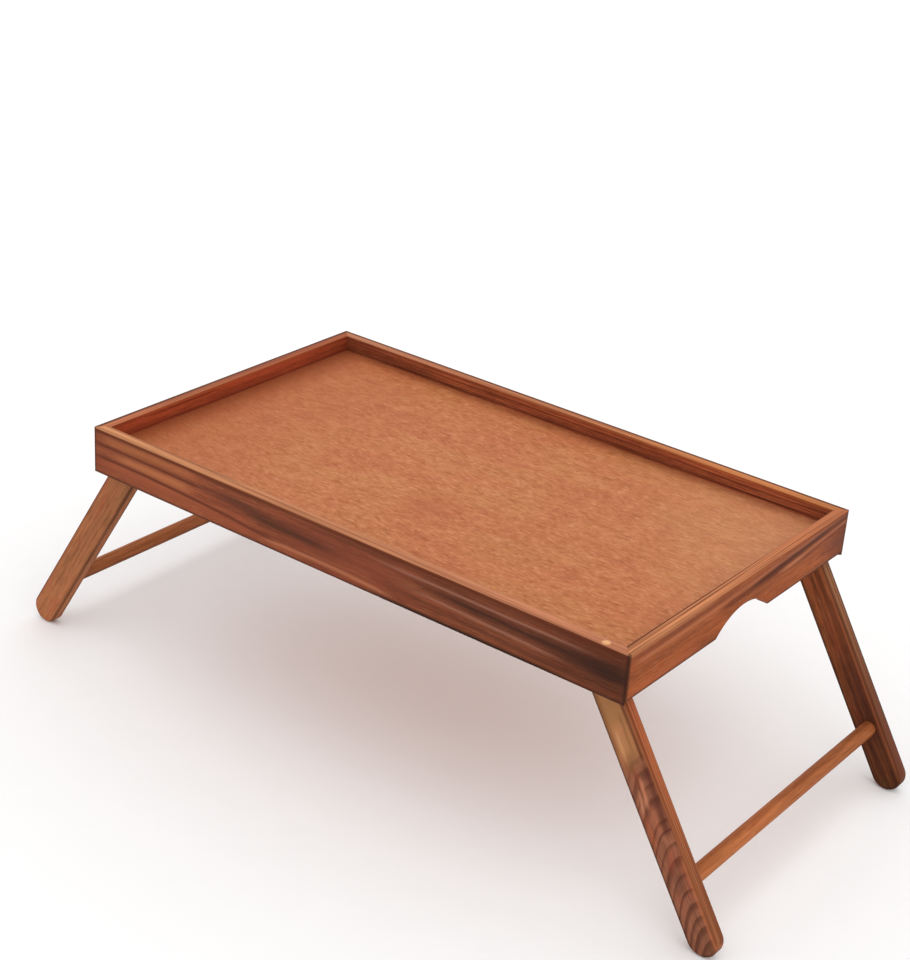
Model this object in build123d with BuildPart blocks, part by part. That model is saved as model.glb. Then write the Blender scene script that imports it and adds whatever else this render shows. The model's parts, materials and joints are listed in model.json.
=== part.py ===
from build123d import *

import os
from math import cos, radians, sin

# Folding tray table: a mitred wooden tray on two swinging leg pairs.
# Millimetres. X runs along the tray, Y across it, Z up.
# The origin is on the floor, below the middle of the tray.

# Tray frame
tray_length = 500.0
tray_width = 300.0
rail_thickness = 9.0
long_rail_height = 38.5
end_rail_height = 36.0
rim_height = 207.0
corner_radius = 1.2
edge_radius = 1.0

# Plywood panel, let into a groove on the inside of the four rails
panel_thickness = 4.0
panel_drop = 14.0
groove_depth = 4.0
panel_slack = 0.3

# Hand-hold arch under each end rail
arch_width = 73.0
arch_rise = 15.0

# Legs
leg_width = 24.5
leg_thickness = 10.0
leg_splay = 31.6
leg_edge_radius = 1.5
leg_gap = 0.8
stop_gap = 0.3
pivot_drop = 31.0

# Stretcher dowel that joins the two legs of a pair
dowel_diameter = 12.0
dowel_along_leg = 153.0
dowel_socket = 7.0
dowel_fit = 0.05
dowel_end_gap = 0.2

# Pivot screws and their washers
screw_diameter = 4.0
screw_head_diameter = 8.0
screw_head_height = 2.6
screw_bite = 6.8
screw_tip = 2.5
screw_tip_taper = 30.0
screw_head_round = 1.4
recess_width = 1.0
recess_length = 4.6
recess_depth = 1.5
bore_clearance = 0.05
washer_diameter = 9.5
spacer_thickness = 0.5
head_washer_thickness = 0.8
leg_play = 0.3

# Brads that pin each mitre, set below the face of the long rail
brad_diameter = 1.4
brad_length = 20.0
brad_head_diameter = 2.0
brad_head_height = 0.8
brad_set = 0.8
brad_drops = (9.0, 27.0)

half_length = tray_length / 2
half_width = tray_width / 2
inner_half_length = half_length - rail_thickness
inner_half_width = half_width - rail_thickness
panel_top = rim_height - panel_drop
panel_bottom = panel_top - panel_thickness
panel_overlap = groove_depth - panel_slack
end_rail_bottom = rim_height - end_rail_height
arch_radius = (arch_width**2 / 4 + arch_rise**2) / (2 * arch_rise)

# The open leg stops against the inner bottom edge of the end rail.
splay = radians(leg_splay)
stop_drop = end_rail_height - pivot_drop
pivot_z = rim_height - pivot_drop
pivot_x = inner_half_length - (leg_width / 2 + stop_gap + stop_drop * sin(splay)) / cos(splay)
leg_reach = (pivot_z - leg_width / 2) / cos(splay)
dowel_x = pivot_x + dowel_along_leg * sin(splay)
dowel_z = pivot_z - dowel_along_leg * cos(splay)

# Distances across the tray, from its middle out to the long rail
leg_outer_y = inner_half_width - leg_gap
leg_inner_y = leg_outer_y - leg_thickness
head_washer_y = leg_inner_y - leg_play - head_washer_thickness
spacer_y = inner_half_width - spacer_thickness
screw_shank = inner_half_width + screw_bite - screw_tip - head_washer_y
dowel_half_length = leg_inner_y + dowel_socket - dowel_end_gap
brad_x = half_length - rail_thickness / 2

ends = {"left": -1, "right": 1}
sides = {"front": -1, "back": 1}

os.makedirs("parts", exist_ok=True)


def save(part, name):
    part.label = name
    export_step(part, f"parts/{name}.step")


def facing_out(end, side, x, y, z):
    """Plane at one corner of the table, whose normal runs out towards the long rail."""
    return Plane(origin=(end * x, side * y, z), x_dir=(1, 0, 0), z_dir=(0, side, 0))


def rail_blank(along_x, height, outer, inner, reach):
    """One grooved rail with mitred ends, on the +Y side of the tray or on its +X side.

    outer and inner are the distances of its faces from the middle of the tray,
    and reach is half of its length.
    """
    far = outer + edge_radius
    near = inner - edge_radius
    long_end = reach + edge_radius
    short_end = long_end - (far - near)
    mitred = [(long_end, far), (short_end, near), (-short_end, near), (-long_end, far)]
    with BuildPart() as rail:
        with BuildSketch(Plane.YZ if along_x else Plane.XZ):
            with Locations(((outer + inner) / 2, rim_height - height / 2)):
                Rectangle(outer - inner, height)
            fillet(vertices(), edge_radius)
            with Locations((inner + groove_depth / 2, (panel_top + panel_bottom) / 2)):
                Rectangle(groove_depth, panel_thickness, mode=Mode.SUBTRACT)
        extrude(amount=reach, both=True)
        with BuildSketch(Plane.XY.offset(rim_height - height)):
            with BuildLine():
                Polyline(*(mitred if along_x else [(x, y) for y, x in mitred]), close=True)
            make_face()
        extrude(amount=height, mode=Mode.INTERSECT)
        with BuildSketch(Plane.XY.offset(rim_height - height)):
            RectangleRounded(tray_length, tray_width, corner_radius)
        extrude(amount=height, mode=Mode.INTERSECT)
    return rail.part


def brad_pair(end, side):
    """The two brads of one mitre, driven through the long rail into the end rail."""
    with BuildPart() as brads:
        for drop in brad_drops:
            head = facing_out(end, side, brad_x, half_width - brad_set, rim_height - drop)
            with BuildSketch(head):
                Circle(brad_head_diameter / 2)
            extrude(amount=-brad_head_height)
            with BuildSketch(head):
                Circle(brad_diameter / 2)
            extrude(amount=-brad_length)
    return brads.part


brads = {(e, s): brad_pair(ends[e], sides[s]) for e in ends for s in sides}
for (end_name, side_name), pair in brads.items():
    save(pair, f"{side_name}_{end_name}_corner_brads")

# Long rails, each with a blind hole for the two pivot screws
long_blank = rail_blank(True, long_rail_height, half_width, inner_half_width, half_length)
for side_name, side in sides.items():
    placed = long_blank if side > 0 else mirror(long_blank, about=Plane.XZ)
    with BuildPart() as long_rail:
        add(placed)
        for end_name, end in ends.items():
            add(brads[end_name, side_name], mode=Mode.SUBTRACT)
            with BuildSketch(facing_out(end, side, pivot_x, inner_half_width, pivot_z)):
                Circle(screw_diameter / 2)
            extrude(amount=screw_bite, mode=Mode.SUBTRACT)
    save(long_rail.part, f"{side_name}_rail")

# End rails, each with its hand-hold arch
end_blank = rail_blank(False, end_rail_height, half_length, inner_half_length, half_width)
for end_name, end in ends.items():
    placed = end_blank if end > 0 else mirror(end_blank, about=Plane.YZ)
    with BuildPart() as end_rail:
        add(placed)
        for side_name in sides:
            add(brads[end_name, side_name], mode=Mode.SUBTRACT)
        with BuildSketch(Plane.YZ.offset(end * inner_half_length)):
            with Locations((0, end_rail_bottom + arch_rise - arch_radius)):
                Circle(arch_radius)
        extrude(amount=end * rail_thickness, mode=Mode.SUBTRACT)
    save(end_rail.part, f"{end_name}_end_rail")

# Plywood panel
with BuildPart() as tray_panel:
    with BuildSketch(Plane.XY.offset(panel_bottom)):
        Rectangle(2 * (inner_half_length + panel_overlap), 2 * (inner_half_width + panel_overlap))
    extrude(amount=panel_thickness)
save(tray_panel.part, "tray_panel")

# Legs: round-ended slats, bored for the pivot screw and socketed for the stretcher
for end_name, end in ends.items():
    down_the_leg = (end * sin(splay), 0, -cos(splay))
    for side_name, side in sides.items():
        outer_face = Plane(
            origin=(end * pivot_x, side * leg_outer_y, pivot_z),
            x_dir=down_the_leg,
            z_dir=(0, -side, 0),
        )
        inner_face = outer_face.offset(leg_thickness)
        with BuildPart() as leg:
            with BuildSketch(outer_face):
                with Locations((leg_reach / 2, 0)):
                    SlotCenterToCenter(leg_reach, leg_width)
            extrude(amount=leg_thickness)
            fillet(faces().filter_by(Axis.Y).edges(), leg_edge_radius)
            with BuildSketch(outer_face):
                Circle(screw_diameter / 2 + bore_clearance)
            extrude(amount=leg_thickness, mode=Mode.SUBTRACT)
            with BuildSketch(inner_face):
                with Locations((dowel_along_leg, 0)):
                    Circle(dowel_diameter / 2 + dowel_fit)
            extrude(amount=-dowel_socket, mode=Mode.SUBTRACT)
        save(leg.part, f"{side_name}_{end_name}_leg")

# Stretchers: round dowels across each pair of legs
for end_name, end in ends.items():
    with BuildPart() as stretcher:
        with BuildSketch(Plane(origin=(end * dowel_x, 0, dowel_z), z_dir=(0, 1, 0))):
            Circle(dowel_diameter / 2)
        extrude(amount=dowel_half_length, both=True)
    save(stretcher.part, f"{end_name}_stretcher")

# Pivot hardware: a pan-head screw from the inside, with a washer on each side of the leg
for end_name, end in ends.items():
    for side_name, side in sides.items():
        corner = f"{side_name}_{end_name}"
        washers = {
            "head_washer": (head_washer_y, head_washer_thickness),
            "spacer_washer": (spacer_y, spacer_thickness),
        }
        for washer_name, (washer_y, thickness) in washers.items():
            with BuildPart() as washer:
                with BuildSketch(facing_out(end, side, pivot_x, washer_y, pivot_z)):
                    Circle(washer_diameter / 2)
                    Circle(screw_diameter / 2 + bore_clearance, mode=Mode.SUBTRACT)
                extrude(amount=thickness)
            save(washer.part, f"{corner}_{washer_name}")

        seat = facing_out(end, side, pivot_x, head_washer_y, pivot_z)
        with BuildPart() as screw:
            with BuildSketch(seat):
                Circle(screw_head_diameter / 2)
            extrude(amount=-screw_head_height)
            fillet(edges().sort_by(Axis.Y)[0 if side > 0 else -1], screw_head_round)
            with BuildSketch(seat):
                Circle(screw_diameter / 2)
            extrude(amount=screw_shank)
            with BuildSketch(seat.offset(screw_shank)):
                Circle(screw_diameter / 2)
            extrude(amount=screw_tip, taper=screw_tip_taper)
            with BuildSketch(seat.offset(-screw_head_height)):
                Rectangle(recess_length, recess_width)
                Rectangle(recess_width, recess_length)
            extrude(amount=recess_depth, mode=Mode.SUBTRACT)
        save(screw.part, f"{corner}_pivot_screw")

print(f"pivot x {pivot_x:.2f}, z {pivot_z:.2f}; leg reach {leg_reach:.2f}")
print(f"dowel x {dowel_x:.2f}, z {dowel_z:.2f}; leg inner face {leg_inner_y:.2f}")
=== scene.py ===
import json
import math
from dataclasses import dataclass, field

import bpy
from mathutils import Matrix, Vector


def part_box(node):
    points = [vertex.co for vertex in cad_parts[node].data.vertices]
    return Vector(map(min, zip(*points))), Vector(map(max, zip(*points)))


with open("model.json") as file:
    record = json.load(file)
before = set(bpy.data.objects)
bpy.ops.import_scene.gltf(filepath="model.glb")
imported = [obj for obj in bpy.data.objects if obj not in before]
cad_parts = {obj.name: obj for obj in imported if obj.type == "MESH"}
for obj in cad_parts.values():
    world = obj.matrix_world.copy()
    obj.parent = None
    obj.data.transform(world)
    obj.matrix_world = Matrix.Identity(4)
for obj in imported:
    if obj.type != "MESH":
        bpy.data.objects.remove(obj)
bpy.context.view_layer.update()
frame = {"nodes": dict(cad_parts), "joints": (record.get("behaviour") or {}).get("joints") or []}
nodes = frame["nodes"]

MM = 0.001
X, Y, Z = Vector((1, 0, 0)), Vector((0, 1, 0)), Vector((0, 0, 1))


def srgb(red, green, blue):
    """A display colour of 0 to 255 as the linear colour that shaders use."""
    linear = []
    for value in (red, green, blue):
        c = value / 255
        linear.append(c / 12.92 if c <= 0.04045 else ((c + 0.055) / 1.055) ** 2.4)
    return (*linear, 1.0)


# ---------------------------------------------------------------- shader helpers

class Num:
    """A number that varies over the surface. Arithmetic on it adds Math nodes."""

    def __init__(self, tree, socket):
        self.tree = tree
        self.socket = socket

    def __add__(self, other):
        return self.tree.math("ADD", self, other)

    def __sub__(self, other):
        return self.tree.math("SUBTRACT", self, other)

    def __rsub__(self, other):
        return self.tree.math("SUBTRACT", other, self)

    def __mul__(self, other):
        return self.tree.math("MULTIPLY", self, other)

    def __truediv__(self, other):
        return self.tree.math("DIVIDE", self, other)

    def __rtruediv__(self, other):
        return self.tree.math("DIVIDE", other, self)

    def __pow__(self, other):
        return self.tree.math("POWER", self, other)

    def __abs__(self):
        return self.tree.math("ABSOLUTE", self)

    __radd__ = __add__
    __rmul__ = __mul__


class Tree:
    """Builds one material. Each method adds a node and returns what it puts out."""

    def __init__(self, name):
        self.material = bpy.data.materials.new(name)
        self.material.use_nodes = True
        self.nodes = self.material.node_tree.nodes
        self.links = self.material.node_tree.links
        self.nodes.clear()
        self.output = self.nodes.new("ShaderNodeOutputMaterial")

    def add(self, kind, inputs, output=0, **settings):
        node = self.nodes.new(kind)
        for key, value in settings.items():
            setattr(node, key, value)
        for key, value in inputs.items():
            if isinstance(value, Num):
                value = value.socket
            if isinstance(value, bpy.types.NodeSocket):
                self.links.new(value, node.inputs[key])
            else:
                node.inputs[key].default_value = value
        return node.outputs[output]

    def math(self, operation, a, b=0.0):
        return Num(self, self.add("ShaderNodeMath", {0: a, 1: b}, operation=operation))

    def least(self, a, b):
        return self.math("MINIMUM", a, b)

    def most(self, a, b):
        return self.math("MAXIMUM", a, b)

    def combine(self, x, y, z):
        return self.add("ShaderNodeCombineXYZ", {0: x, 1: y, 2: z})

    def dot(self, vector, axis):
        inputs = {0: vector, 1: axis}
        return Num(self, self.add("ShaderNodeVectorMath", inputs, "Value", operation="DOT_PRODUCT"))

    def length(self, x, y):
        vector = self.combine(x, y, 0.0)
        return Num(self, self.add("ShaderNodeVectorMath", {0: vector}, "Value", operation="LENGTH"))

    def noise(self, place, grain, detail=2.0, roughness=0.5, distortion=0.0, seed=0.0):
        """Noise from 0 to 1 whose features measure about grain millimetres each way."""
        scale = [1 / size for size in grain]
        vector = self.combine(*place)
        vector = self.add("ShaderNodeVectorMath", {0: vector, 1: scale}, operation="MULTIPLY")
        inputs = {"Vector": vector, "W": seed, "Scale": 1.0, "Detail": detail}
        inputs.update({"Roughness": roughness, "Distortion": distortion})
        return Num(self, self.add("ShaderNodeTexNoise", inputs, noise_dimensions="4D"))

    def step(self, value, low, high, to_low=0.0, to_high=1.0):
        """A smooth step from to_low, where value is low, to to_high, where it is high."""
        inputs = {"Value": value, 1: low, 2: high, 3: to_low, 4: to_high}
        return Num(self, self.add("ShaderNodeMapRange", inputs, interpolation_type="SMOOTHSTEP"))

    def blend(self, amount, a, b, blend_type="MIX"):
        inputs = {"Factor": amount, 6: a, 7: b}
        return self.add("ShaderNodeMix", inputs, 2, data_type="RGBA", blend_type=blend_type)

    def shade(self, colour, amount):
        """The colour made darker or lighter by a factor."""
        return self.blend(1.0, colour, self.combine(amount, amount, amount), "MULTIPLY")

    def ramp(self, value, stops):
        node = self.nodes.new("ShaderNodeValToRGB")
        node.color_ramp.interpolation = "EASE"
        elements = node.color_ramp.elements
        while len(elements) < len(stops):
            elements.new(0.5)
        for element, (place, colour) in zip(elements, stops):
            element.position = place
            element.color = colour
        self.links.new(value.socket, node.inputs[0])
        return node.outputs[0]

    def bump(self, height, strength, distance):
        inputs = {"Height": height, "Strength": strength, "Distance": distance}
        return self.add("ShaderNodeBump", inputs)

    def finish(self, colour, roughness, normal, metallic=0.0, specular=0.5):
        inputs = {"Base Color": colour, "Roughness": roughness, "Normal": normal}
        inputs.update({"Metallic": metallic, "Specular IOR Level": specular})
        shader = self.add("ShaderNodeBsdfPrincipled", inputs)
        self.links.new(shader, self.output.inputs["Surface"])
        return self.material


# ---------------------------------------------------------------- wood

BURNT = srgb(52, 27, 18)
UMBER = srgb(84, 44, 28)
RED = srgb(160, 66, 42)
OLIVE = srgb(112, 76, 42)
PALE = srgb(208, 140, 98)
FILLER = srgb(232, 178, 124)

# Millimetres that each mark of the figure measures along, across and through a slat.
FIBRE = (46.0, 1.25, 1.25)
PORE = (11.0, 0.75, 0.75)
CLOUD = (85.0, 15.0, 15.0)
PATCH = (46.0, 9.0, 9.0)
RING_DRIFT = (120.0, 22.0, 22.0)
STREAK_SWAY = (60.0, 9.0, 20.0)

# Millimetres from an arris over which the torch's mark fades, and its strength at the top.
SCORCH_FULL = 0.6
SCORCH_END = 3.0
SCORCH_AT_TOP = 0.3

# Millimetres in from a narrow face's outer arris between which the rim darkens.
RIM_START = 4.4
RIM_END = 2.8

# How far the outer face leans towards a slat's outside colour
OUTSIDE_SHARE = 0.6

# Specular level of the slats and the panel, whose surfaces have no gloss
DULL = 0.07


@dataclass
class Streak:
    """A band in the figure, dark or pale, from one (along, across) place to another."""
    start: tuple
    end: tuple
    width: float
    strength: float
    colour: tuple
    bow: float = 0.0
    fade: float = 25.0


@dataclass
class Edge:
    """The narrow face on a slat's positive side, cut across the growth rings.

    It shades from the start colour to the end colour along the slat, with lines a gap
    apart. Depth is how far its colour turns over the arris, and rim is how dark its
    outer side is.
    """
    start: tuple
    end: tuple
    line: tuple
    gap: float = 1.6
    strength: float = 0.5
    depth: float = 1.0
    rim: float = 0.0


@dataclass
class Spot:
    """A pale filled brad hole on the narrow face."""
    along: float
    through: float
    radius: float


@dataclass
class Slat:
    """How one slat was cut from the log, and how the heat treatment coloured it, with painted shade in
    some colours.

    Lengths are in millimetres, from the middle of the slat: along the grain, across the
    broad face, and through the thickness. Tones are (fraction along, brightness), and
    outside is the colour that the face turned away from the tray leans towards.
    """
    light: tuple
    dark: tuple
    seed: float
    pith: tuple = (-60.0, -20.0)
    ring_gap: float = 4.0
    ring_strength: float = 0.6
    ring_start: tuple = None
    runout: float = 0.0
    wander: float = 1.2
    lines: float = 0.5
    patches: float = 0.3
    tones: tuple = ((0.0, 1.0), (1.0, 1.0))
    streaks: list = field(default_factory=list)
    spots: list = field(default_factory=list)
    edge: Edge = None
    burn: float = 0.6
    outside: tuple = None


def slat_frame(tree, centre, along, across, through):
    """Millimetre coordinates along, across and through one slat."""
    place = tree.add("ShaderNodeTexCoord", {}, "Object")
    place = tree.add("ShaderNodeVectorMath", {0: place, 1: centre}, operation="SUBTRACT")
    return [tree.dot(place, axis / MM) for axis in (along, across, through)]


def burnt_edge(tree, place, half_size, ragged):
    """1 on a slat's edges, where the torch caught them, falling to 0 on its faces."""
    u, v, w = place
    gap_u = half_size[0] - abs(u)
    gap_w = half_size[2] - abs(w)
    amounts = []
    for gap_v, strength in ((v + half_size[1], 1.0), (half_size[1] - v, SCORCH_AT_TOP)):
        smaller, larger = tree.least(gap_u, gap_v), tree.most(gap_u, gap_v)
        distance = tree.most(smaller, tree.least(larger, gap_w))
        amount = tree.step(distance + ragged, SCORCH_FULL, SCORCH_END, 1.0, 0.0)
        amounts.append(amount * strength)
    return tree.most(*amounts)


def growth_rings(tree, place, slat):
    """0 in pale early wood, rising to 1 in the dark late wood of each ring."""
    u, v, w = place
    sway_v = (tree.noise(place, RING_DRIFT, 1.0, seed=slat.seed) - 0.5) * (slat.wander * 4)
    sway_w = (tree.noise(place, RING_DRIFT, 1.0, seed=slat.seed + 7.3) - 0.5) * (slat.wander * 4)
    from_pith_v = v - slat.pith[0] + sway_v
    from_pith_w = w - slat.pith[1] + sway_w + u * slat.runout
    rings = tree.length(from_pith_v, from_pith_w) / slat.ring_gap
    rings = rings + tree.noise((rings, 0.0, 0.0), (1.0, 1.0, 1.0), 1.0, seed=slat.seed + 1.7) * 1.6
    year = tree.math("FRACT", rings)
    rising = tree.step(year, 0.3, 0.85)
    falling = tree.step(year, 0.86, 1.0, 1.0, 0.0)
    number = tree.math("FLOOR", rings)
    depth = tree.noise((number, 0.0, 0.0), (1.0, 1.0, 1.0), 0.0, seed=slat.seed + 3.1)
    rings = rising * falling * tree.step(depth, 0.3, 0.7, 0.4, 1.0)
    if slat.ring_start:
        rings = rings * tree.step(u + v * 1.2, *slat.ring_start)
    return rings


def streak_amount(tree, place, streak, grain, seed):
    """1 in the middle of a streak, falling off across it and fading at its two ends."""
    u, v, _ = place
    (u0, v0), (u1, v1) = streak.start, streak.end
    part = (u - u0) / (u1 - u0)
    centre = part * (v1 - v0) + v0 + part * (1.0 - part) * (4 * streak.bow)
    sway = (tree.noise(place, STREAK_SWAY, 3.0, seed=seed) - 0.5) * (streak.width * 1.3)
    off = abs(v + sway - centre) / streak.width
    band = 1.0 / (off ** 3.0 + 1.0)
    ends = tree.step(u, u0, u0 + streak.fade) * tree.step(u, u1 - streak.fade, u1, 1.0, 0.0)
    return band * ends * (grain * 0.9 + 0.55) * streak.strength


def edge_face(tree, place, half_size, slat, colour, length):
    """Lays the colour of the narrow positive face over the slat's colour."""
    u, v, w = place
    edge = slat.edge
    face = tree.blend(tree.step(length, 0.0, 1.0), edge.start, edge.end)
    fine = tree.noise(place, (220.0, 40.0, edge.gap), 2.0, 0.6, seed=slat.seed + 31.0)
    face = tree.blend(tree.step(fine, 0.42, 0.66) * edge.strength, face, edge.line)
    worn = tree.noise(place, (60.0, 40.0, 5.0), 3.0, 0.6, seed=slat.seed + 33.0)
    face = tree.shade(face, tree.step(worn, 0.25, 0.75, 0.86, 1.1))
    for spot in slat.spots:
        distance = tree.length(u - spot.along, w - spot.through) / spot.radius
        face = tree.blend(tree.step(distance, 0.55, 1.15, 0.85, 0.0), face, FILLER)
    rim = tree.step(w, half_size[2] - RIM_START, half_size[2] - RIM_END) * edge.rim
    face = tree.blend(rim, face, UMBER)
    top = half_size[1]
    return tree.blend(tree.step(v, top - edge.depth, top - edge.depth * 0.45), colour, face)


def wood(name, centre, half_size, axes, slat):
    """Heat-treated softwood, cut from a log whose growth rings run right through the slat."""
    tree = Tree(name)
    place = slat_frame(tree, centre, *axes)
    u, _, w = place
    rings = growth_rings(tree, place, slat)
    coarse = tree.noise(place, FIBRE, 3.0, 0.62, 0.3, seed=slat.seed + 11.0)
    fine = tree.noise(place, PORE, 3.0, 0.7, 0.3, seed=slat.seed + 17.0)
    cloud = tree.noise(place, CLOUD, 3.0, 0.6, 0.4, seed=slat.seed + 23.0)
    patch = tree.noise(place, PATCH, 3.0, 0.6, 0.4, seed=slat.seed + 27.0)

    colour = tree.blend(rings * slat.ring_strength, slat.light, slat.dark)
    colour = tree.blend(tree.step(patch, 0.52, 0.72) * slat.patches, colour, RED)
    colour = tree.blend(tree.step(patch, 0.46, 0.28) * slat.patches, colour, OLIVE)
    lines = tree.step(coarse, 0.4, 0.7)
    colour = tree.blend(lines * (slat.lines * 0.9), colour, slat.dark)
    colour = tree.blend(tree.step(coarse, 0.42, 0.24) * (slat.lines * 0.4), colour, PALE)
    pores = tree.step(fine, 0.5, 0.74)
    colour = tree.blend(pores * (slat.lines * 0.8), colour, BURNT)
    colour = tree.blend(tree.step(fine, 0.48, 0.26) * (slat.lines * 0.5), colour, PALE)
    length = u / (2 * half_size[0]) + 0.5
    stops = [(at, (tone, tone, tone, 1.0)) for at, tone in slat.tones]
    tone = tree.ramp(length + (cloud - 0.5) * 0.15, stops)
    colour = tree.blend(1.0, colour, tone, "MULTIPLY")
    colour = tree.shade(colour, tree.step(cloud, 0.28, 0.72, 0.82, 1.12))
    for number, streak in enumerate(slat.streaks):
        amount = streak_amount(tree, place, streak, coarse, slat.seed + number)
        colour = tree.blend(amount, colour, streak.colour)
    if slat.outside:
        colour = tree.blend(tree.step(w, 0.0, half_size[2]) * OUTSIDE_SHARE, colour, slat.outside)
    if slat.edge:
        colour = edge_face(tree, place, half_size, slat, colour, length)
    burn = burnt_edge(tree, place, half_size, (coarse - 0.5) * 1.2)
    colour = tree.blend(burn * slat.burn, colour, BURNT)

    roughness = 0.56 - rings * 0.08 + (fine - 0.5) * 0.25
    normal = tree.bump(rings * 0.5 - pores * 0.8 - lines * 0.4, 0.35, 0.15 * MM)
    return tree.finish(colour, roughness, normal, specular=DULL)


def dress(node_name, material):
    """Gives a CAD node this one material."""
    slots = nodes[node_name].data.materials
    slots.clear()
    slots.append(material)


def dress_slat(node_name, axes, slat):
    """Wood on a slat that lies square to the frame."""
    low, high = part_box(node_name)
    half_size = [abs(((high - low) / 2).dot(axis)) / MM for axis in axes]
    dress(node_name, wood(node_name + "_wood", (low + high) / 2, half_size, axes, slat))


# Tray rails: across is up, and the positive narrow face is the top.
# The rails' upright faces are coloured darker than their tops, partly their own colour and partly
# painted shade.
front_rail = Slat(
    light=srgb(146, 77, 49), dark=srgb(90, 42, 27), pith=(-46.0, -30.0), ring_gap=7.0, seed=2.0,
    ring_strength=0.35, burn=0.75, lines=0.6,
    tones=((0.0, 0.9), (0.2, 0.97), (0.3, 0.86), (0.6, 0.84), (0.82, 0.7), (1.0, 0.48)),
    streaks=[
        Streak((-250, -8.5), (-70, -13), 5.5, 0.5, srgb(160, 82, 54), bow=3.0),
        Streak((-250, 11.5), (-130, 14), 3.0, 0.45, srgb(176, 106, 62)),
        Streak((-235, 1), (-135, 0.5), 3.0, 0.6, srgb(184, 112, 70)),
        Streak((-262, 6.7), (-120, 6.0), 1.2, 0.85, srgb(92, 40, 22)),
        Streak((-262, -4.6), (-45, -13), 1.3, 0.85, srgb(88, 40, 24), bow=3.6),
        Streak((-90, -8), (25, -13.5), 1.0, 0.5, srgb(92, 44, 28), bow=1.0),
        Streak((-80, 6), (90, -4), 11.0, 0.45, srgb(126, 60, 42), fade=50.0),
        Streak((-150, 8), (30, -0.5), 4.2, 0.6, srgb(88, 46, 32), fade=55.0),
        Streak((-120, 9), (-60, 6), 1.6, 0.4, srgb(70, 42, 28), fade=25.0),
        Streak((-105, 2), (5, -0.5), 1.9, 0.65, srgb(64, 38, 24), fade=35.0),
        Streak((-80, -13.5), (60, -15), 1.3, 0.5, srgb(190, 118, 84), bow=2.4),
        Streak((10, -5), (240, -14), 1.7, 0.45, UMBER, fade=60.0),
        Streak((90, -9), (250, -15), 0.8, 0.5, UMBER, fade=50.0),
        Streak((-60, 13), (255, 13.5), 1.6, 0.4, UMBER, fade=50.0),
        Streak((60, 4.5), (290, 1), 3.3, 0.8, srgb(56, 30, 22), fade=70.0),
        Streak((170, -2), (300, -2), 7.5, 0.8, srgb(48, 28, 20), fade=70.0),
        Streak((20, 9.5), (235, 8.5), 0.8, 0.5, srgb(158, 112, 94), fade=50.0),
        Streak((50, -1), (215, -6), 1.1, 0.5, srgb(160, 108, 86), fade=50.0),
        Streak((-275, 17.0), (275, 16.4), 1.1, 0.8, srgb(88, 38, 18)),
        Streak((20, -18), (215, -18), 1.5, 0.9, srgb(38, 22, 16), fade=40.0),
    ],
    edge=Edge(srgb(206, 140, 94), srgb(200, 128, 92), srgb(138, 80, 52), gap=2.4, strength=0.8),
    spots=[Spot(along=229.0, through=1.0, radius=3.4)],
)
back_rail = Slat(
    light=srgb(174, 91, 58), dark=srgb(92, 43, 26), pith=(-50.0, 30.0), ring_gap=2.6, seed=5.0,
    ring_strength=0.75, lines=0.7, patches=0.25, tones=((0.0, 0.86), (0.4, 1.0), (1.0, 1.0)),
    streaks=[
        Streak((-300, 6.6), (275, 7.4), 0.8, 0.6, srgb(60, 24, 14)),
        Streak((-150, 13.5), (275, 13), 0.6, 0.55, srgb(74, 30, 18)),
        Streak((-100, 18.2), (275, 18), 0.7, 0.5, srgb(176, 96, 50)),
    ],
    edge=Edge(
        srgb(196, 128, 94), srgb(206, 130, 74), srgb(140, 72, 40),
        gap=2.2, strength=0.7, rim=0.8,
    ),
)
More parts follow.
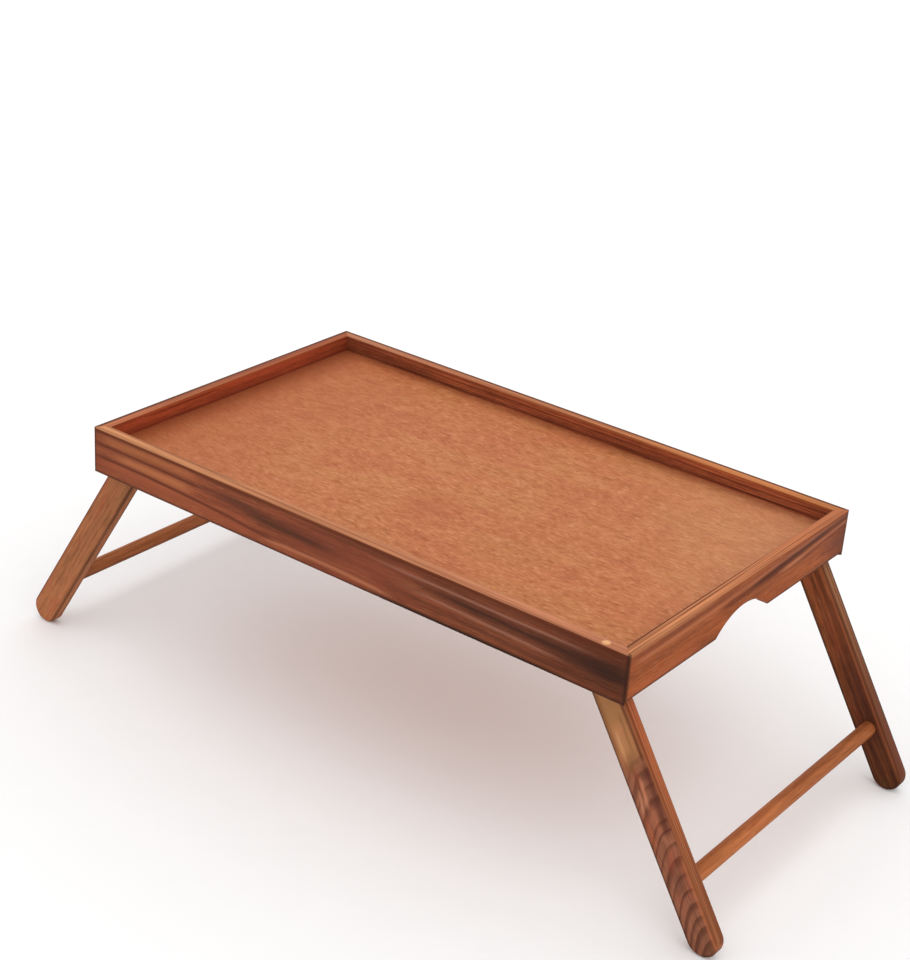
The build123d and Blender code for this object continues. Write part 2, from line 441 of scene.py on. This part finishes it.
# Its colours were matched on the inner face, which stands in shade, so they hold painted shade; the
# outer face leans towards a less red outside colour.
left_end_rail = Slat(
    light=srgb(172, 75, 44), dark=srgb(112, 47, 28), pith=(-60.0, 10.0), ring_gap=5.5, seed=8.0,
    ring_strength=0.5, patches=0.35, tones=((0.0, 1.08), (0.7, 1.0), (1.0, 0.8)),
    streaks=[
        Streak((-160, 5.5), (160, 5), 1.8, 0.5, srgb(84, 34, 20)),
        Streak((-110, 14.6), (-10, 14.2), 0.7, 0.6, srgb(88, 34, 18)),
        Streak((-120, 16.2), (120, 16.4), 0.8, 0.5, srgb(190, 92, 52)),
    ],
    edge=Edge(
        srgb(188, 112, 76), srgb(172, 92, 56), srgb(128, 58, 34),
        gap=2.2, strength=0.8, rim=0.85,
    ),
    outside=srgb(140, 78, 50),
)
right_end_rail = Slat(
    light=srgb(160, 82, 38), dark=srgb(106, 47, 19), pith=(-90.0, -60.0), ring_gap=11.0, seed=11.0,
    ring_strength=0.25, lines=0.65, patches=0.25, burn=0.8,
    tones=((0.0, 0.98), (0.45, 0.96), (0.88, 1.0), (1.0, 0.6)),
    streaks=[
        Streak((-160, 12.6), (-10, 12), 2.2, 0.65, srgb(112, 50, 22)),
        Streak((-150, 7.8), (30, 9.4), 1.8, 0.55, srgb(186, 112, 74)),
        Streak((0, 10), (160, 16.6), 1.0, 0.5, srgb(190, 118, 84), bow=-0.6),
        Streak((-45, 4), (175, 15.5), 3.0, 0.8, srgb(92, 38, 15), bow=-1.0),
        Streak((0, 6), (130, 13), 1.4, 0.75, srgb(66, 27, 12), bow=-0.6),
        Streak((40, 3.0), (165, 11.4), 1.1, 0.65, srgb(190, 120, 84), bow=-1.4),
        Streak((70, 1.5), (170, 8.6), 2.0, 0.65, srgb(102, 42, 20)),
        Streak((-150, -14), (-50, -12), 2.0, 0.35, srgb(184, 96, 58)),
        Streak((100, -4), (185, -6), 7.0, 0.6, srgb(96, 44, 34), fade=40.0),
        Streak((-170, 16.2), (-30, 16.6), 0.9, 0.5, srgb(196, 130, 88)),
    ],
    edge=Edge(srgb(206, 134, 88), srgb(192, 114, 72), srgb(104, 50, 25), gap=1.15, strength=1.0),
)
dress_slat("front_rail", (X, Z, -Y), front_rail)
dress_slat("back_rail", (X, Z, Y), back_rail)
dress_slat("left_end_rail", (Y, Z, -X), left_end_rail)
dress_slat("right_end_rail", (Y, Z, X), right_end_rail)

# Legs: the grain runs from the pivot down to the foot, and the positive narrow face is
# the one turned away from the tray.
legs = {
    "front_right_leg": Slat(
        light=srgb(158, 98, 72), dark=srgb(78, 38, 28), pith=(9.0, -54.6), ring_gap=2.1, runout=-0.2,
        ring_strength=0.95, ring_start=(-46.0, -24.0), wander=0.8, patches=0.4, lines=0.4, seed=14.0,
        tones=((0.0, 0.86), (0.13, 0.98), (0.36, 0.98), (0.6, 0.92), (0.85, 0.86), (1.0, 0.68)),
        burn=0.9,
        streaks=[
            Streak((-130, 0), (-30, -1), 15.0, 0.8, srgb(176, 120, 77), fade=14.0),
            Streak((-84, -2), (-58, -1), 8.0, 0.4, srgb(132, 98, 54), fade=8.0),
            Streak((-96, -9.5), (-34, -9), 1.6, 0.6, srgb(118, 74, 42), fade=12.0),
            Streak((-74, 4), (-36, 3), 1.1, 0.5, srgb(124, 80, 46), fade=10.0),
            Streak((-62, -4), (-30, -5), 1.2, 0.45, srgb(206, 152, 104), fade=10.0),
            Streak((-46, 5), (-22, -8), 5.0, 0.45, srgb(128, 88, 48), fade=8.0),
            Streak((-90, 9), (-30, 9), 1.3, 0.85, srgb(88, 38, 18), fade=10.0),
            Streak((-36, 9), (24, 6.5), 3.0, 0.75, srgb(82, 38, 26), fade=10.0),
            Streak((-26, 1.5), (2, -2), 1.3, 0.6, srgb(202, 132, 98), fade=8.0),
            Streak((-24, -2), (-4, -3.5), 0.8, 0.6, srgb(104, 54, 34), fade=6.0),
            Streak((-16, -3), (6, -8), 1.0, 0.6, srgb(196, 130, 96), fade=8.0),
            Streak((-2, -6), (34, -8), 2.4, 0.4, srgb(172, 86, 50), fade=14.0),
            Streak((-8, 1), (22, 0), 2.2, 0.35, srgb(168, 92, 62), fade=10.0),
            Streak((24, 6), (50, -4), 3.0, 0.4, srgb(158, 74, 48), fade=10.0),
            Streak((42, 5), (66, -4), 3.6, 0.4, srgb(84, 44, 36), fade=8.0),
            Streak((30, 10.6), (112, 10.0), 1.4, 0.65, srgb(184, 104, 64), fade=14.0),
        ],
        edge=Edge(
            srgb(168, 90, 54), srgb(164, 100, 62), srgb(98, 46, 26),
            gap=2.0, strength=0.8, depth=1.8,
        ),
    ),
    "back_right_leg": Slat(
        light=srgb(158, 87, 49), dark=srgb(76, 36, 24), pith=(-20.0, 20.0), ring_gap=4.5, seed=17.0,
        ring_strength=0.7, burn=0.9, patches=0.5, lines=0.8,
        tones=((0.0, 1.05), (0.35, 0.96), (0.6, 0.58), (1.0, 0.34)),
        streaks=[
            Streak((-90, 5.5), (10, 3.5), 2.2, 0.6, srgb(88, 46, 26), fade=20.0),
            Streak((-20, 5), (90, 3), 4.5, 0.6, srgb(54, 26, 24), fade=40.0),
            Streak((-90, 10.3), (110, 10), 1.2, 0.55, srgb(160, 92, 60)),
        ],
        edge=Edge(
            srgb(150, 98, 64), srgb(118, 64, 42), srgb(66, 34, 22),
            gap=2.0, strength=0.8, depth=1.8,
        ),
    ),
    "front_left_leg": Slat(
        light=srgb(171, 107, 67), dark=srgb(117, 61, 37), pith=(-30.0, -20.0), ring_gap=3.2, seed=20.0,
        ring_strength=0.35, tones=((0.0, 0.84), (0.3, 0.9), (0.75, 1.0), (1.0, 1.0)), patches=0.4,
        edge=Edge(
            srgb(130, 72, 49), srgb(138, 80, 53), srgb(88, 46, 30),
            gap=2.4, strength=0.6, depth=1.8,
        ),
    ),
    "back_left_leg": Slat(
        light=srgb(150, 86, 54), dark=srgb(88, 42, 26), pith=(-30.0, 20.0), ring_gap=3.6, seed=23.0,
        edge=Edge(
            srgb(150, 90, 58), srgb(140, 82, 52), srgb(84, 42, 26),
            gap=2.0, strength=0.6, depth=1.8,
        ),
    ),
}


def dress_leg(name, slat):
    """Wood on a leg, which slants from its pivot to the centre of its rounded foot."""
    end = 1 if "right" in name else -1
    side = -1 if "front" in name else 1
    body = "right_legs" if end > 0 else "left_legs"
    low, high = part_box(name)
    pivot = Vector(next(joint["pos_m"] for joint in frame["joints"] if joint["child"] == body))
    half_width = high.z - pivot.z
    foot_x = high.x - half_width if end > 0 else low.x + half_width
    foot = Vector((foot_x, 0, low.z + half_width))
    along = (foot - pivot).normalized()
    across = Vector((end * abs(along.z), 0, abs(along.x)))
    middle = (foot + pivot) / 2
    middle.y = (low.y + high.y) / 2
    half_length = (foot - pivot).length / 2 + half_width
    half_size = [size / MM for size in (half_length, half_width, (high.y - low.y) / 2)]
    dress(name, wood(name + "_wood", middle, half_size, (along, across, side * Y), slat))


for name, slat in legs.items():
    dress_leg(name, slat)

# Stretcher dowels
dowels = {
    "right_stretcher": Slat(
        light=srgb(182, 108, 62), dark=srgb(130, 64, 35), pith=(-9.0, -14.0), ring_gap=3.0,
        ring_strength=0.4, burn=0.0, seed=29.0,
        tones=((0.0, 1.0), (0.4, 0.94), (0.75, 0.86), (1.0, 0.7)),
    ),
    "left_stretcher": Slat(
        light=srgb(168, 102, 62), dark=srgb(104, 52, 28), pith=(-9.0, -14.0), ring_gap=3.0,
        ring_strength=0.4, burn=0.0, seed=26.0,
        streaks=[Streak((-180, -4), (180, -4), 2.6, 0.6, UMBER)],
    ),
}
for name, slat in dowels.items():
    dress_slat(name, (Y, Z, X), slat)


# ---------------------------------------------------------------- plywood panel

# Colours of the veneer, and of the painted shade along the rails
VENEER_YELLOW = srgb(188, 121, 73)
VENEER_PINK = srgb(186, 108, 70)
BROWN_FIGURE = srgb(160, 88, 52)
BROWN_MOTTLE = srgb(164, 90, 54)
PALE_MOTTLE = srgb(205, 138, 94)
DARK_FLECK = srgb(150, 82, 48)
PALE_FLECK = srgb(218, 152, 108)
DARK_PORE = srgb(128, 68, 40)
LEFTWARD_RED = srgb(168, 86, 51)
RIGHTWARD_YELLOW = srgb(200, 146, 106)
SPOT_STAIN = srgb(168, 88, 56)
PAINTED_SHADE = srgb(126, 60, 34)

# The patch that took more stain: its place on the panel and its half size, in millimetres
STAIN_PLACE = (4.0, -52.0)
STAIN_SIZE = (26.0, 30.0)

# How far in from the left and the back rail the painted shade reaches, in millimetres
SHADE_LEFT_REACH = (42.0, 2.0)
SHADE_BACK_REACH = (20.0, 4.0)


def stain_and_painted_shade(tree, colour, place, half_size, mottle):
    """Redder at the left and yellower at the far right, a darker stained patch, and painted shade
    along the left and the back rail.
    """
    u, v, _ = place
    # Redder and darker towards the left, yellower and lighter towards the far right
    colour = tree.blend(tree.step(u, -60.0, -250.0) * 0.45, colour, LEFTWARD_RED)
    colour = tree.blend(tree.step(u + v * 0.8, 120.0, 330.0) * 0.35, colour, RIGHTWARD_YELLOW)
    across_patch = (u - STAIN_PLACE[0]) / STAIN_SIZE[0]
    down_patch = (v - STAIN_PLACE[1]) / STAIN_SIZE[1]
    patch = tree.length(across_patch, down_patch) + (mottle - 0.5) * 1.2
    colour = tree.blend(tree.step(patch, 0.1, 1.2, 0.4, 0.0), colour, SPOT_STAIN)

    # Painted shade on the panel along the left and the back rail, where they meet it
    ragged = (mottle - 0.5) * 8.0
    half_u, half_v, _ = half_size
    shade_near_left = tree.step(u + ragged, SHADE_LEFT_REACH[0] - half_u, SHADE_LEFT_REACH[1] - half_u) * 0.7
    shade_near_back = tree.step(v + ragged, half_v - SHADE_BACK_REACH[0], half_v - SHADE_BACK_REACH[1]) * 0.5
    return tree.blend(tree.most(shade_near_left, shade_near_back), colour, PAINTED_SHADE)


def plywood(name):
    """Rotary-cut veneer: soft clouds, and short wavy dark and pale flecks along X."""
    tree = Tree(name)
    low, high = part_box("tray_panel")
    place = slat_frame(tree, (low + high) / 2, X, Y, Z)
    u, v, w = place
    wave = tree.noise(place, (70.0, 50.0, 50.0), 2.0, seed=40.0) - 0.5
    ripple = tree.noise(place, (14.0, 12.0, 12.0), 2.0, seed=45.0) - 0.5
    grain = (u + ripple * 3.0, v + wave * 16.0 + ripple * 2.0, w)
    figure = tree.noise(grain, (150.0, 9.0, 9.0), 3.0, 0.6, 0.6, seed=47.0)
    clouds = tree.noise(place, (75.0, 46.0, 46.0), 3.0, 0.5, 0.4, seed=41.0)
    mottle = tree.noise(grain, (19.0, 10.0, 10.0), 4.0, 0.62, 0.5, seed=42.0)
    dark_fleck = tree.noise(grain, (7.5, 2.5, 2.5), 3.0, 0.62, 0.5, seed=43.0)
    pale_fleck = tree.noise(grain, (6.5, 2.2, 2.2), 3.0, 0.62, 0.5, seed=46.0)
    pores = tree.noise(grain, (2.6, 0.5, 0.5), 2.0, 0.6, seed=44.0)

    colour = tree.blend(tree.step(clouds, 0.32, 0.68), VENEER_YELLOW, VENEER_PINK)
    colour = tree.blend(tree.step(figure, 0.46, 0.64) * 0.22, colour, BROWN_FIGURE)
    colour = tree.blend(tree.step(mottle, 0.47, 0.66) * 0.42, colour, BROWN_MOTTLE)
    colour = tree.blend(tree.step(mottle, 0.5, 0.32) * 0.36, colour, PALE_MOTTLE)
    colour = tree.blend(tree.step(dark_fleck, 0.44, 0.7) * 0.62, colour, DARK_FLECK)
    colour = tree.blend(tree.step(pale_fleck, 0.46, 0.72) * 0.5, colour, PALE_FLECK)
    colour = tree.blend(tree.step(pores, 0.56, 0.76) * 0.4, colour, DARK_PORE)
    colour = stain_and_painted_shade(tree, colour, place, (high - low) / 2 / MM, mottle)

    roughness = 0.5 + (dark_fleck - 0.5) * 0.3
    normal = tree.bump(pores * -0.5 - dark_fleck * 0.4, 0.3, 0.12 * MM)
    return tree.finish(colour, roughness, normal, specular=DULL)


dress("tray_panel", plywood("panel_plywood"))


# ---------------------------------------------------------------- steel

SCUFFED = srgb(120, 112, 100)


def steel(name, tint, rough):
    """Plated or drawn steel, duller and darker where it is scuffed."""
    tree = Tree(name)
    place = slat_frame(tree, Vector((0, 0, 0)), X, Y, Z)
    scuffs = tree.noise(place, (1.0, 1.0, 1.0), 4.0, 0.65)
    colour = tree.blend(tree.step(scuffs, 0.35, 0.7), tint, SCUFFED)
    roughness = tree.step(scuffs, 0.3, 0.7, rough, rough + 0.2)
    return tree.finish(colour, roughness, tree.bump(scuffs, 0.15, 0.05 * MM), metallic=1.0)


zinc = steel("zinc_plate", srgb(196, 188, 168), 0.3)
bright = steel("bright_wire", srgb(170, 168, 164), 0.35)
for name in nodes:
    if name.endswith(("_screw", "_washer")):
        dress(name, zinc)
    elif name.endswith("_brads"):
        dress(name, bright)


# ---------------------------------------------------------------- stage, light and camera

FLOOR_WIDTH = 60.0
FLOOR_GAP = 0.5 * MM
WORLD_STRENGTH = 1.0
KEY_STRENGTH = 0.5
KEY_SPREAD = math.radians(60)
KEY_FROM = Vector((0.55, -0.35, 1.0))

# The camera looks at AIM from DISTANCE away. Azimuth turns from the front towards +X, and
# roll tips the picture clockwise. Distances are in metres, the lens in millimetres.
AZIMUTH = math.radians(36.24)
ELEVATION = math.radians(25.38)
ROLL = math.radians(4.06)
DISTANCE = 1.539
AIM = Vector((-0.0093, 0, 0.193))
LENS = 74.94
SENSOR_WIDTH = 36.0


def stage_floor():
    """A plain sheet of matt white paper, just under the feet."""
    bpy.ops.mesh.primitive_plane_add(size=FLOOR_WIDTH, location=(0, 0, -FLOOR_GAP))
    floor = bpy.context.object
    floor.name = "floor"
    tree = Tree("floor_paper")
    place = slat_frame(tree, Vector((0, 0, 0)), X, Y, Z)
    fleck = tree.noise(place, (30.0, 30.0, 30.0))
    colour = tree.blend(fleck, (0.93, 0.93, 0.93, 1), (0.95, 0.95, 0.95, 1))
    roughness = tree.step(fleck, 0.0, 1.0, 0.85, 0.95)
    normal = tree.bump(fleck, 0.02, MM)
    floor.data.materials.append(tree.finish(colour, roughness, normal, specular=0.0))


def studio():
    """An even white surround, and a broad key light from above and to the right."""
    world = bpy.data.worlds.new("studio")
    world.use_nodes = True
    background = world.node_tree.nodes["Background"]
    background.inputs["Color"].default_value = (1, 1, 1, 1)
    background.inputs["Strength"].default_value = WORLD_STRENGTH
    bpy.context.scene.world = world
    data = bpy.data.lights.new("key", "SUN")
    data.energy = KEY_STRENGTH
    data.angle = KEY_SPREAD
    key = bpy.data.objects.new("key", data)
    key.rotation_euler = KEY_FROM.to_track_quat("Z", "Y").to_euler()
    bpy.context.scene.collection.objects.link(key)


def camera():
    """The photo's three-quarter view from above the front right corner."""
    level = Vector((math.sin(AZIMUTH), -math.cos(AZIMUTH), 0))
    back = level * math.cos(ELEVATION) + Z * math.sin(ELEVATION)
    data = bpy.data.cameras.new("camera")
    data.sensor_width = SENSOR_WIDTH
    data.lens = LENS
    data.clip_start = 0.05
    view = bpy.data.objects.new("camera", data)
    turn = back.to_track_quat("Z", "Y").to_matrix() @ Matrix.Rotation(ROLL, 3, "Z")
    view.matrix_world = Matrix.Translation(AIM + back * DISTANCE) @ turn.to_4x4()
    bpy.context.scene.collection.objects.link(view)
    bpy.context.scene.camera = view


stage_floor()
studio()
camera()
bpy.context.scene.view_settings.view_transform = "Standard"
